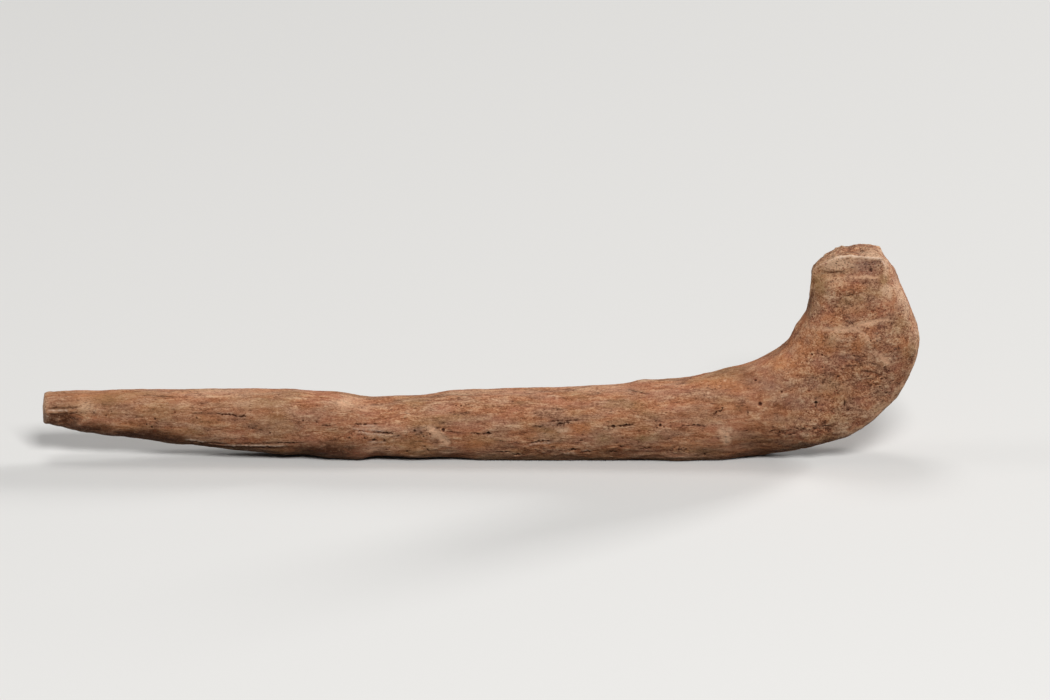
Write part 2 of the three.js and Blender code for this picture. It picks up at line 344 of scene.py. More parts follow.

# A stain, a patch of painted shade or a painted highlight is a pixel of the photograph, its half
# length and half height in millimetres, and how strong it is.
STAINS_AND_PAINTED_LIGHT = {
    "red": [
        (755.5, 379.6, 0.14, 0.14, 1), (782, 392, 0.14, 0.12, 0.8), (812, 354.4, 0.12, 0.12, 0.8),
        (768.6, 376.6, 0.12, 0.12, 0.8), (844.6, 318.4, 0.16, 0.16, 1), (877, 301, 0.2, 0.14, 1),
        (812.6, 334.4, 0.14, 0.14, 0.8), (824, 325, 0.2, 0.12, 0.9), (853, 315, 0.16, 0.14, 0.9),
        (866, 315.6, 0.18, 0.12, 1), (828, 291, 0.2, 0.24, 0.6), (819.6, 274, 0.14, 0.14, 0.7),
        (844, 291, 0.3, 0.16, 0.8), (825, 285, 0.16, 0.16, 0.6), (811, 355, 0.12, 0.14, 0.8),
        (821.6, 354.6, 0.12, 0.14, 0.8), (866, 348, 0.16, 0.14, 0.8), (878, 340.6, 0.16, 0.14, 0.8),
        (887, 345.6, 0.16, 0.14, 0.8), (843, 307.6, 0.14, 0.14, 0.8), (857, 283, 0.6, 0.1, 0.8),
        (852, 286, 0.5, 0.12, 0.8), (822, 266.6, 0.2, 0.2, 0.6), (858, 263, 0.3, 0.12, 0.6),
        (881, 271, 0.16, 0.3, 0.7), (890, 318, 0.7, 0.12, 0.6), (822, 402, 0.5, 0.12, 0.6),
        (834, 395, 0.5, 0.14, 0.7), (155, 431, 0.2, 0.12, 0.8), (248, 427, 0.3, 0.12, 0.6),
        (175, 412, 0.14, 0.14, 0.9), (652, 396, 0.4, 0.2, 0.5), (690, 398, 0.8, 0.1, 0.6),
        (476, 446, 0.3, 0.2, 0.6), (637, 441.6, 0.3, 0.1, 0.7), (658, 446, 0.3, 0.6, 0.4),
        (790, 433, 1.2, 0.2, 0.7), (730, 435, 0.16, 0.3, 0.9), (744, 429, 0.6, 0.2, 0.6),
        (735, 432, 0.3, 0.3, 0.7),
    ],
    "warm": [
        (210, 418, 3.4, 0.9, 0.5), (476, 445, 1.6, 0.6, 1), (581, 429, 1.2, 0.55, 1.3),
        (835, 392, 2.6, 0.8, 0.8), (782, 363, 2.2, 0.9, 0.8), (720, 384, 3.4, 0.7, 0.7),
        (700, 415, 4, 2, 0.35), (830, 345, 2.6, 1.6, 0.5), (858, 345, 1, 0.7, 0.8),
        (800, 350, 1.2, 1.2, 0.7), (858, 310, 1.7, 1, 0.6), (850, 288, 1.6, 0.6, 0.6),
        (610, 412, 2.4, 0.8, 0.35), (830, 320, 1.6, 0.6, 0.6), (905, 345, 0.8, 1.4, 0.5),
        (752, 425, 2.4, 1, 0.4), (380, 445, 2.5, 0.6, 0.3), (893, 300, 0.7, 1.6, 0.5),
        (62, 418, 2.6, 0.5, 0.6), (440, 440, 0.6, 0.4, 0.5), (90, 396, 5, 0.5, 0.8),
        (66, 404, 3.6, 1.8, 0.5), (110, 426, 4, 0.7, 0.8), (62, 421, 2, 0.5, 0.9),
        (160, 434, 3.4, 0.8, 0.7), (330, 448, 3, 0.8, 0.6), (818, 337, 1.4, 1.4, 0.8),
        (700, 446, 4, 0.6, 0.7), (806, 322, 0.8, 0.8, 0.7), (252, 412, 3, 1, 0.5),
        (150, 398, 4, 0.5, 0.5),
    ],
    "olive": [
        (820, 282, 0.9, 2, 0.9), (648, 438, 1.6, 0.5, 0.8), (604, 438, 1, 0.6, 0.7),
        (84, 411, 1, 0.6, 0.7), (846, 270, 1.6, 0.5, 0.6), (884, 280, 0.6, 0.8, 0.8),
        (112, 399, 2.4, 0.5, 0.6), (450, 418, 2.6, 0.5, 0.6), (545, 430, 1.6, 0.5, 0.5),
        (860, 300, 0.8, 0.6, 0.5), (190, 432, 2.4, 0.5, 0.5), (262, 400, 2.2, 0.5, 0.5),
    ],
    "grey": [
        (418, 431, 0.8, 0.6, 0.7), (360, 417, 2, 0.4, 0.5), (770, 385, 3.2, 0.8, 0.5),
        (812, 385, 1.6, 0.6, 0.6), (850, 357, 1.6, 0.5, 0.7), (548, 426, 1.6, 0.5, 0.6),
        (655, 443, 0.9, 0.5, 0.5), (896, 354, 0.9, 0.9, 0.6), (800, 404, 1.8, 0.9, 0.4),
        (860, 318, 1.4, 0.5, 0.5), (280, 428, 3, 0.9, 0.5), (252, 428, 1, 0.5, 0.5),
        (633, 394, 1.4, 0.5, 0.5), (893, 390, 1.2, 1.2, 0.3), (600, 436, 2.4, 0.5, 0.4),
        (867, 266, 1.7, 0.9, 1),
    ],
    # Pale patches and painted highlights: the long thin spots along the top edge of the shank, and the
    # narrow ones down the right edge of the arm and round the heel, paint the light that catches those
    # edges.
    "pale_and_highlit": [
        (86, 407, 1.4, 0.8, 0.6), (46, 405, 0.4, 1, 0.2), (185, 403, 1.4, 0.5, 0.3),
        (240, 404, 2.2, 0.5, 0.5), (345, 403, 1.3, 0.5, 0.7), (364, 408, 1.3, 0.35, 0.5),
        (356, 402, 1.4, 0.4, 0.4), (563, 430, 0.9, 0.4, 0.9), (545, 435, 0.9, 0.3, 0.5),
        (886.6, 290, 0.5, 0.5, 1.5), (890, 296, 0.4, 0.6, 0.9), (886, 268, 0.35, 0.9, 0.9),
        (872, 257, 1, 0.3, 1.2), (838, 264, 1.8, 0.7, 1.15), (820, 272, 0.8, 0.8, 0.4),
        (870, 322.6, 1.4, 0.3, 0.85), (842, 330, 1.8, 0.35, 0.75), (820, 328, 2, 0.35, 0.5),
        (877, 338, 0.5, 0.7, 0.6), (835, 280, 1.8, 0.9, 0.45), (882, 405, 1, 0.8, 0.4),
        (448, 452, 1, 0.3, 0.8), (428, 427, 0.8, 0.35, 0.6), (432, 430, 0.5, 0.4, 1.1),
        (437, 434, 0.5, 0.4, 1.2), (442, 438, 0.42, 0.34, 1.2), (447, 442, 0.4, 0.3, 1),
        (373, 449, 1.2, 0.5, 0.6), (374, 428, 1.6, 0.2, 0.6), (230, 436, 2.2, 0.4, 0.5),
        (220, 392, 6, 0.3, 0.5), (480, 391, 8, 0.3, 0.4), (600, 387.6, 8, 0.35, 0.5),
        (835, 389, 2.6, 0.8, 0.4), (884, 398, 2.2, 1.6, 0.25), (898, 286, 0.5, 1.4, 0.7),
        (901, 299, 0.5, 0.9, 0.9), (906, 308, 0.5, 1.6, 0.7), (850, 309, 1.2, 0.8, 0.3),
        (914, 330, 0.4, 1.2, 0.5), (708, 393, 0.16, 0.12, 1), (725, 380, 0.14, 0.12, 1),
        (222, 443, 0.16, 0.12, 1), (723, 431, 0.6, 0.5, 0.9), (729, 430, 0.5, 0.4, 0.8),
        (727, 440, 0.5, 0.6, 1.2), (720, 425, 0.8, 0.3, 0.4), (615, 431, 0.8, 0.4, 0.5),
        (652, 438, 0.9, 0.4, 0.5), (686, 434, 0.8, 0.4, 0.4),
    ],
    # Mostly painted shade, with a few dark stains: the spots along the belly and under the line end
    # paint the shade where the hook turns under, away from the light, and the broad ones over the left
    # end paint the light falling off towards that end.
    "shade_and_dark_stain": [
        (60, 419.4, 2.4, 0.6, 1.4), (90, 428.4, 3, 0.8, 1), (128, 434.6, 3.4, 0.8, 1),
        (162, 438.6, 3.4, 0.9, 1), (150, 433.4, 3, 0.7, 1), (330, 450, 3.8, 1.1, 1),
        (206, 446, 2.6, 0.5, 0.75), (290, 453, 3, 0.5, 0.5), (115, 404, 3.4, 0.4, 0.3),
        (230, 425, 3, 0.6, 0.3), (340, 436, 4, 1, 0.2), (540, 451, 4, 0.7, 0.5),
        (886, 393, 0.8, 0.7, 0.4), (898, 388, 0.4, 0.9, 0.35), (44, 404, 0.4, 1, 0.45),
        (790, 431, 3.6, 0.5, 0.4), (558, 423, 1.2, 0.5, 0.4), (842, 292, 1.6, 0.35, 0.4),
        (827, 288, 0.4, 0.9, 0.4), (833, 272, 1.2, 0.25, 0.6), (717, 411, 0.7, 0.5, 0.4),
        (880, 272, 0.6, 0.6, 0.2), (866, 251, 1.4, 1.6, 0.3), (62, 402, 3, 2.2, 0.4),
        (110, 402, 5, 2.2, 0.36), (160, 412, 6, 3, 0.3), (245, 416, 6, 3, 0.34),
        (325, 420, 4, 2.4, 0.34), (740, 374, 3, 0.6, 0.45), (844, 252, 0.8, 1.4, 0.25),
        (620, 451, 5, 0.5, 0.5), (418, 432, 0.9, 0.6, 0.3), (868, 374, 1.2, 0.8, 0.35),
        (90, 413, 1, 0.5, 0.4), (56, 414.4, 1, 0.18, 0.9), (68, 413.6, 1.2, 0.18, 0.8),
        (64, 422, 2.4, 0.7, 1),
    ],
}

# What the smoothing of the carved form takes away and is given back, in millimetres
GROWTH = 0.08

# A swell is a pixel of the photograph, and a reach and a height in millimetres. The first lines
# follow the outline from the line end over the back, round the arm and back along the belly.
SWELLS = [
    (46, 395, 1, 0.2), (60, 393, 1.8, 0.12), (80, 392, 2.2, 0.1), (100, 396, 3, -0.1),
    (169, 392, 0.5, -0.16), (208, 391, 2, 0.08), (275, 391, 2.6, -0.16), (310, 391, 3, -0.24),
    (352, 400, 2.6, -0.1), (386, 398, 2, 0.06), (425, 393.6, 3, -0.22), (455, 394, 1.2, 0.08),
    (510, 390, 2.5, 0.05), (560, 391, 4, -0.08), (643, 383, 1.8, 0.26), (682, 380, 1.8, -0.16),
    (712, 372.4, 3.2, 0.42), (732, 367, 2.8, 0.42), (757, 359, 2.2, 0.16), (784, 343, 2.2, -0.06),
    (799, 325, 1.8, 0.2), (810, 300, 2, 0.12), (814, 284, 1.6, 0.2), (814, 270, 1.3, 0.4),
    (892, 266, 1.8, 0.5), (905, 306, 2.4, 0.05), (917, 340, 2.6, 0.35), (912, 368, 2.6, 0.5),
    (898, 392, 2.8, 0.6), (876, 414, 2.8, 0.6), (850, 434, 2.6, 0.5), (816, 441, 2.2, 0.2),
    (800, 447, 1.8, -0.1), (755, 459, 4.2, -0.5), (680, 459, 2.6, 0.2), (418, 459, 2.4, 0.14),
    (365, 458, 1.4, 0.1), (306, 455, 2.2, -0.3), (252, 452, 2, 0.06), (170, 445, 3, 0.12),
    (104, 436, 2.4, 0.24), (80, 431, 2, 0.44), (64, 425, 1.6, 0.15), (54, 419, 1.3, 0.5),
    (45, 414, 1.1, 0.9), (378, 456, 1.6, -0.1), (717, 411, 1, -0.12), (871, 266, 1.2, -0.1),
    (620, 432, 5, 0.06), (500, 430, 4, -0.06), (410, 420, 3, 0.06), (820, 400, 4, -0.08),
    (770, 410, 4, 0.06), (860, 340, 3, 0.06), (840, 300, 2.6, -0.06),
]

# The cuts across the line end: a pixel on each, its depth in millimetres and the way it faces
END_CUTS = [
    ((42.2, 414), 0, (-0.995, 0, 0.1)),
    ((44.6, 404), -1.3, (-0.8, -0.57, 0.15)),
    ((46.5, 404), 1.3, (-0.77, 0.6, 0.2)),
    ((46.5, 391.5), 0, (-0.6, 0, 0.8)),
]

# How far the paler colour of the line end's face reaches in, and how pale it is: the cut bone is paler,
# and this is also a painted highlight on that face
END_PALE = 0.5 * MM
END_PALENESS = 0.25

# The flats that the outline of the arm and the heel is cut in, from corner to corner, in pixels
EDGE_CORNERS = [
    (884, 253.6), (892, 263), (896.6, 274), (906, 297), (917, 324), (919, 340), (917, 355),
    (908.5, 377.5), (897.5, 396.5), (886, 408), (873.4, 420), (861, 429.5), (846, 437.5), (813, 446.5),
]

# The belly lifts off the floor under the waist: how high in millimetres, the pixels across between
# which this begins and ends, the pixel of the middle of the hook, and its reach upwards
BELLY_LIFT = 0.34
BELLY_LIFT_PLACE = (355, 372, 452, 486)
MIDDLE_PIXEL = 479.5
BELLY_LIFT_REACH = 4 * MM

# The rims of the broken top in pixels: the near one, and the far one that is its outline. Each
# lies so far before or behind the middle of the arm.
BREAK_RIM_DEPTH = 2.1 * MM
BREAK_NEAR_RIM = [
    (808.8, 301), (809.8, 292), (810.6, 284), (811.5, 277), (812.6, 270.6), (817, 265), (824, 262),
    (836, 258.2), (847.5, 255), (854, 256.4), (866, 257), (880, 258), (884, 260.5), (890, 266),
    (896, 274),
]
BREAK_FAR_RIM = [
    (808.8, 300), (809.8, 291), (810.6, 283), (811, 276), (811.2, 269.4), (813, 265), (817, 261.6),
    (822, 257.6), (824.4, 253.8), (831.4, 250), (840.2, 246), (844.8, 245.6), (849.6, 246),
    (853.3, 244.4), (860.5, 243.6), (867.8, 242.8), (873.8, 243.8), (878.7, 246), (880.6, 245.8),
    (881.8, 249.4), (885, 255), (890, 260.6), (894.4, 267.4), (897, 275),
]

# A ledge is the route of its edge in pixels, how far the bone below it lies back and how far down
# that reaches, in millimetres.
LEDGES = [
    ([(46.5, 412.7), (50, 413.6), (68, 413.6), (72, 412.4), (78, 413.2), (83, 415.6), (92, 420)],
     0.12, 1.2),
    ([(184, 442), (215, 445), (262, 446.4), (304, 445.4)], 0.1, 1.6),
    ([(505, 443.4), (527, 442), (552, 441.2), (575, 444)], 0.05, 1.0),
    ([(822, 280), (846, 279), (868, 278.6), (884, 280)], 0.04, 1.2),
]

# How ragged a ledge's edge is in millimetres, the runs over which it grows and dies away, the
# height of its step, and how far the bone looks forwards where it lies
LEDGE_RAGGED = 0.08
LEDGE_START = (-1 * MM, 1 * MM)
LEDGE_END = (-2 * MM, 1 * MM)
LEDGE_STEP = 0.16 * MM
LEDGE_SIDE = 0.2

# Where the surface is broken and rough: the same values as for a stain
ROUGH_PLACES = [
    (838, 266, 2.2, 0.8, 0.9), (870, 266.4, 1.5, 0.7, 1), (880, 283, 0.9, 0.6, 0.3),
    (42.4, 404, 0.4, 1.6, 0.6), (66, 420, 2.2, 0.6, 0.8), (90, 413, 1.2, 0.8, 0.8),
    (552, 451, 4.2, 0.6, 0.9), (724, 436, 1, 1, 0.5), (240, 446, 5, 0.4, 0.6), (852, 292, 1.6, 0.7, 0.4),
    (800, 431, 5, 0.7, 0.9), (880, 380, 1.4, 1.4, 0.8), (868, 396, 1.6, 0.9, 0.6),
    (678, 450, 1.8, 0.5, 1), (422, 432, 0.9, 0.6, 0.9), (152, 424, 1.2, 0.5, 0.7),
    (892, 352, 0.8, 1.6, 0.5), (360, 436, 3, 0.6, 0.6), (718, 411, 0.7, 0.5, 0.8),
    (880, 310, 1.2, 0.8, 0.5), (620, 449, 3, 0.4, 0.6),
]


def make_camera():
    data = bpy.data.cameras.new("camera")
    data.sensor_width = SENSOR_WIDTH
    data.lens = SENSOR_WIDTH * VIEW_DISTANCE * PIXELS_PER_METRE / PHOTO_WIDTH
    data.clip_end = FARTHEST_SEEN
    camera = bpy.data.objects.new("camera", data)
    camera.location = EYE
    camera.rotation_euler = BACKWARDS.to_track_quat("Z", "Y").to_euler()
    bpy.context.scene.collection.objects.link(camera)
    bpy.context.scene.camera = camera


def select_only(piece):
    bpy.ops.object.select_all(action="DESELECT")
    piece.select_set(True)
    bpy.context.view_layer.objects.active = piece


def select_faces(piece, chosen):
    """Opens a piece for editing with only the chosen faces selected."""
    mesh = piece.data
    mesh.vertices.foreach_set("select", np.zeros(len(mesh.vertices), bool))
    mesh.edges.foreach_set("select", np.zeros(len(mesh.edges), bool))
    mesh.polygons.foreach_set("select", chosen)
    select_only(piece)
    bpy.ops.object.mode_set(mode="EDIT")
    bpy.ops.mesh.select_mode(type="FACE")


def apply_modifier(piece, name, kind, **settings):
    select_only(piece)
    modifier = piece.modifiers.new(name, kind)
    for setting, value in settings.items():
        setattr(modifier, setting, value)
    bpy.ops.object.modifier_apply(modifier=name)


def read_points(mesh):
    points = np.empty(len(mesh.vertices) * 3)
    mesh.vertices.foreach_get("co", points)
    return points.reshape(-1, 3)


def read_normals(mesh):
    normals = np.empty(len(mesh.vertices) * 3)
    mesh.vertex_normals.foreach_get("vector", normals)
    return normals.reshape(-1, 3)


def write_points(mesh, points):
    mesh.vertices.foreach_set("co", points.reshape(-1))
    mesh.update()


def write_mask(mesh, name, values):
    mask = mesh.attributes.new(name, "FLOAT", "POINT")
    mask.data.foreach_set("value", np.clip(values, 0, 1).astype(np.float32))


def smooth_step(values, low, high):
    share = np.clip((values - low) / (high - low), 0, 1)
    return share * share * (3 - 2 * share)


def falloff(distance, reach):
    """1 at no distance, falling smoothly to 0 at the reach."""
    return 1 - smooth_step(distance, 0, reach)


def wander(points, size):
    """Smooth noise at each point, drawn out along the grain."""
    along, across, octaves = size
    drawn = points / (np.array([along, across, across]) * MM)
    return np.array([noise.fractal(Vector(p), 1.0, 2.0, octaves) for p in drawn])


def aim_at(across, down, depth=None):
    """Where the line of sight of a pixel meets the picture plane, or the plane y = depth."""
    right = (across - PHOTO_WIDTH / 2) / PIXELS_PER_METRE
    up = (PHOTO_HEIGHT / 2 - down) / PIXELS_PER_METRE
    aim = VIEW_TARGET + Vector((right, 0, 0)) + up * UPWARDS
    return aim if depth is None else EYE + (aim - EYE) * (depth - EYE.y) / (aim - EYE).y


class Surface:
    """The hook's surface as it is now, to find where marks lie on it."""

    def __init__(self, mesh):
        corners = [tuple(p) for p in read_points(mesh)]
        self.tree = BVHTree.FromPolygons(corners, [tuple(f.vertices) for f in mesh.polygons])

    def seen_at(self, across, down):
        """The point that shows at a pixel of the photograph, or the nearest one at the outline."""
        aim = aim_at(across, down)
        hit = self.tree.ray_cast(EYE, (aim - EYE).normalized())[0]
        return self.nearest(aim) if hit is None else hit

    def nearest(self, point):
        return self.tree.find_nearest(point)[0]


class Marks:
    """Points along cracks, pits or scratches, each with its half width, depth and soiled reach."""

    def __init__(self):
        self.places = []
        self.sizes = []

    def add(self, place, half_width, depth, soil=0.0):
        self.places.append(place)
        self.sizes.append((half_width, depth, soil))

    def add_pit(self, place, size):
        self.add(place, size * PIT_HALF_WIDTH * MM, size * PIT_DEPTH * MM)

    def add_route(self, surface, route, width, depth):
        """A mark drawn on the photograph, a little ragged and thin at both ends."""
        route = np.array(route)
        run = np.append(0, np.cumsum(np.linalg.norm(np.diff(route, axis=0), axis=1)))
        for gone in np.arange(0, run[-1], MARK_STEP * PIXELS_PER_METRE):
            x = float(np.interp(gone, run, route[:, 0]))
            y = float(np.interp(gone, run, route[:, 1]))
            place = Vector((x, y, 0))
            ragged = RAGGED * noise.noise(place * RAGGED_RATE)
            taper = min(1, THIN_END + min(gone, run[-1] - gone) / TAPER_RUN)
            beads = BEAD_MIDDLE + BEAD_SWING * noise.noise(place * BEAD_RATE + BEAD_SHIFT)
            strength = taper * min(max(beads, THINNEST_BEAD), THICKEST_BEAD)
            half_width = width / 2 * MM * strength
            cut = CUT_SHARE * depth * MM * strength
            self.add(surface.seen_at(x, y + ragged), half_width, cut, CRACK_SOIL)

    def add_grain_crack(self, surface, start, length, width, depth, bow):
        """A crack that runs along the grain from a point on the surface."""
        place = Vector(start)
        steps = round(length / MARK_STEP)
        for step in range(steps):
            share = step / steps
            turn = WAVER * noise.noise(place / WAVER_SIZE)
            rise = WAVER * noise.noise(place / WAVER_SIZE + RISE_SHIFT)
            along = Vector((1, bow * math.sin(BOW_RUN * share) + turn, rise))
            place = surface.nearest(place + along * MARK_STEP)
            strength = math.sin(math.pi * share) ** 0.5
            self.add(place, width / 2 * strength, depth * strength, CRACK_SOIL)

    def measure(self, points, reach):
        """For each point: how far the nearest mark is, and that mark's sizes."""
        tree = kdtree.KDTree(len(self.places))
        for number, place in enumerate(self.places):
            tree.insert(place, number)
        tree.balance()
        found = np.full((len(points), 4), (reach, 0.0, 0.0, 0.0))
        for number, point in enumerate(points):
            _, nearest, distance = tree.find(point)
            if distance < reach:
                found[number] = (distance, *self.sizes[nearest])
        return found.T


def copy_of_node(node, name):
    """A copy of a CAD node as a new piece, with its loose triangles merged."""
    piece = bpy.data.objects.new(name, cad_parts[node].data.copy())
    bpy.context.scene.collection.objects.link(piece)
    piece.data.materials.clear()
    select_only(piece)
    bpy.ops.object.mode_set(mode="EDIT")
    bpy.ops.mesh.select_all(action="SELECT")
    bpy.ops.mesh.remove_doubles(threshold=MERGE_GAP)
    bpy.ops.object.mode_set(mode="OBJECT")
    return piece


def lengthen_arm(hook):
    """Draws the arm out past its break, so that the break can be cut sharp after smoothing."""
    faces = hook.data.polygons
    broken = [face.center.z > BREAK_HEIGHT and face.normal.z > LOOKS_UP for face in faces]
    select_faces(hook, broken)
    bpy.ops.mesh.extrude_region_move(TRANSFORM_OT_translate={"value": (0, 0, SPARE_ARM)})
    bpy.ops.object.mode_set(mode="OBJECT")


def cut_break(hook):
    """Takes the arm down to the surface between the two rims of its break."""
    near = np.array([aim_at(*pixel, -BREAK_RIM_DEPTH) for pixel in BREAK_NEAR_RIM])
    far = np.array([aim_at(*pixel, BREAK_RIM_DEPTH) for pixel in BREAK_FAR_RIM])
    points = read_points(hook.data)
    near_top = np.interp(points[:, 0], near[:, 0], near[:, 2])
    far_top = np.interp(points[:, 0], far[:, 0], far[:, 2])
    share = np.clip(0.5 + points[:, 1] / (2 * BREAK_RIM_DEPTH), 0, 1)
    top = near_top + (far_top - near_top) * share
    arm = points[:, 2] > ARM_CUT_FROM
    points[arm, 2] = np.minimum(points[arm, 2], top[arm])
    write_points(hook.data, points)


def grain_direction(point):
    """Along the shank, and up the arm past the bend."""
    turn = math.radians(90) * smooth_step(point[0], *GRAIN_TURN)
    return np.array((math.cos(turn), 0, math.sin(turn)))


def cut_facets(surface, points, normals, rng):
    """Shaves long shallow flats all over the hook, as a knife leaves them."""
    plain = points.copy()
    round_place = np.array(surface.seen_at(*ROUND_PLACE))
    for _ in range(FACETS):
        number = rng.randrange(len(points))
        centre = plain[number]
        facing = normals[number] / np.linalg.norm(normals[number])
        if facing[2] > LOOKS_UP and centre[2] > BREAK_HEIGHT:
            continue
        along = grain_direction(centre)
        facing = facing - along * (facing @ along) * rng.uniform(*FACET_LEVELLED)
        facing /= np.linalg.norm(facing)
        half_lengths = SHANK_FACET if centre[0] < GRAIN_ENDS[0] else BEND_FACET
        half_length = rng.uniform(*half_lengths) * MM
        depth = rng.uniform(*FACET_DEPTH) * MM
        away = points - centre
        bow = 1 - ((away @ along) / half_length) ** 2
        near = (bow > 0) & (np.linalg.norm(away, axis=1) < FACET_ROUND * half_length)
        proud = np.where(near, away @ facing + depth * bow, 0)
        left_round = np.linalg.norm(centre - round_place) < ROUND_REACH
        if proud.max() < FACET_PROUD * depth and not left_round:
            proud = np.maximum(proud, 0) * smooth_step(bow, 0, FACET_TAPER)
            points -= facing * (proud ** 2 / (proud + FACET_EDGE))[:, None]


def shave(points, place, facing):
    """Moves what stands proud of a plane back to it."""
    facing = np.array(facing) / np.linalg.norm(facing)
    proud = np.maximum((points - np.array(place)) @ facing, 0)
    points -= facing * proud[:, None]


def cut_flats(points):
    """Cuts the outline of the arm and the heel flat from corner to corner, and the line end."""
    corners = [np.array(aim_at(*pixel)) for pixel in EDGE_CORNERS]
    for start, end in zip(corners, corners[1:]):
        shave(points, start, np.cross(BACKWARDS, end - start))
    for pixel, depth, facing in END_CUTS:
        shave(points, aim_at(*pixel, depth * MM), facing)


def stay_on_floor(points):
    """Wears the belly flat where it would reach below the floor, and the line end at its cut."""
    points[:, 0] = np.maximum(points[:, 0], cad_low[0])
    points[:, 2] = np.maximum(points[:, 2], 0)


def carve_form(hook, rng):
    """Moves the whole form away from the plain solid: swells, hollows and knife facets."""
    mesh = hook.data
    surface = Surface(mesh)
    points = read_points(mesh)
    normals = read_normals(mesh)
    plain = points.copy()
    raised = GROWTH * MM + SWELL_HEIGHT * MM * wander(points, FORM_SWELL)
    points += normals * raised[:, None]
    cut_facets(surface, points, normals, rng)
    for across, down, reach, height in SWELLS:
        centre = np.array(surface.seen_at(across, down))
        distance = np.linalg.norm(plain - centre, axis=1)
        points += normals * (height * MM * falloff(distance, reach * MM))[:, None]
    cut_flats(points)
    points[:, 1] *= min(1, MOST_THICKNESS / np.ptp(points[:, 1]))
    lift_x = [(across - MIDDLE_PIXEL) / PIXELS_PER_METRE for across in BELLY_LIFT_PLACE]
    lift = smooth_step(points[:, 0], lift_x[0], lift_x[1])
    lift *= 1 - smooth_step(points[:, 0], lift_x[2], lift_x[3])
    points[:, 2] += BELLY_LIFT * MM * lift * falloff(points[:, 2], BELLY_LIFT_REACH)
    stay_on_floor(points)
    write_points(mesh, points)


def ledge_drop(surface, points, normals):
    """How far the bone lies back below the edges of its ledges, in metres."""
    dropped = np.zeros(len(points))
    for route, drop, reach in LEDGES:
        edge = np.array([surface.seen_at(*pixel) for pixel in route])
        edge_height = np.interp(points[:, 0], edge[:, 0], edge[:, 2])
        ragged = LEDGE_RAGGED * MM * wander(points, LEDGE_EDGE)
        below = edge_height - points[:, 2] + ragged
        start, end = edge[0, 0], edge[-1, 0]
        inside = smooth_step(points[:, 0], start + LEDGE_START[0], start + LEDGE_START[1])
        inside *= 1 - smooth_step(points[:, 0], end + LEDGE_END[0], end + LEDGE_END[1])
        step = smooth_step(below, 0, LEDGE_STEP) * falloff(below, reach * MM)
        dropped += drop * MM * step * inside * (normals[:, 1] < LEDGE_SIDE)
    return dropped


def drawn_marks(surface, drawn):
    """The marks of one table, laid on the surface."""
    marks = Marks()
    for mark in drawn:
        marks.add_route(surface, *mark)
    return marks


def all_cracks(surface, mesh, rng):
    """The cracks and pits that the photograph shows, and more of their kind on the other sides."""
    marks = drawn_marks(surface, CRACKS)
    for across, down, size in PITS:
        marks.add_pit(surface.seen_at(across, down), size)
    points = read_points(mesh)
    turned_away = read_normals(mesh)[:, 1] > UNSEEN_FROM
    unseen = np.flatnonzero(turned_away & (points[:, 2] < BREAK_HEIGHT)).tolist()
    for place in points[rng.sample(unseen, UNSEEN_CRACKS)]:
        lengths = SHANK_CRACK if place[0] < GRAIN_ENDS[0] else BEND_CRACK
        length = rng.uniform(*lengths) * MM
        width = rng.uniform(*CRACK_WIDTH)
        depth = CRACK_DEPTH * width * MM
        bow = rng.uniform(*CRACK_BOW)
        marks.add_grain_crack(surface, place, length, width * MM, depth, bow)
    for place in points[rng.sample(unseen, UNSEEN_PITS)]:
        marks.add_pit(Vector(place), rng.uniform(*PIT_SIZE))
    return marks


def refine_near(hook, marks, reach):
    """Divides the faces that lie near a mark."""
    mesh = hook.data
    centres = np.empty(len(mesh.polygons) * 3)
    mesh.polygons.foreach_get("center", centres)
    distance, half_width, _, _ = marks.measure(centres.reshape(-1, 3), reach + WIDEST_CRACK)
    select_faces(hook, distance < reach + half_width)
    bpy.ops.mesh.subdivide(number_cuts=1, ngon=False)
    bpy.ops.object.mode_set(mode="OBJECT")


def bulge(mesh, rounds):
    """How far each vertex stands out of its surroundings, in metres."""
    points = read_points(mesh)
    ends = np.empty(len(mesh.edges) * 2, int)
    mesh.edges.foreach_get("vertices", ends)
    first, second = ends.reshape(-1, 2).T
    count = np.bincount(ends, minlength=len(points))[:, None]
    smooth = points.copy()
    for _ in range(rounds):
        total = np.zeros_like(smooth)
        for axis in range(3):
            total[:, axis] += np.bincount(first, smooth[second, axis], len(points))
            total[:, axis] += np.bincount(second, smooth[first, axis], len(points))
        smooth = 0.5 * smooth + 0.5 * total / count
    return ((points - smooth) * read_normals(mesh)).sum(axis=1)


def spots_mask(surface, points, spots):
    mask = np.zeros(len(points))
    for across, down, half_length, half_height, strength in spots:
        centre = np.array(surface.seen_at(across, down))
        away = (points - centre) / (np.array([half_length, SPOT_DEPTH, half_height]) * MM)
        mask = np.maximum(mask, strength * np.exp(-(away ** 2).sum(axis=1)))
    return mask


def line_mask(distance, half_width, thinnest, core=0.0):
    """1 on a line and 0 past its half width. One too thin to show is wider and weaker."""
    share = falloff(distance - core * half_width, np.maximum((1 - core) * half_width, thinnest))
    return share * np.clip(half_width / thinnest, 0, 1)


def relief(points, fibres, share, layers, count):
    """Fibres over flat layers, count of them to 1, with short steps between."""
    heights = wander(points, layers) * count
    whole = np.floor(heights)
    stepped = (whole + smooth_step(heights - whole, *LAYER_STEP)) / count
    return share * wander(points, fibres) + stepped


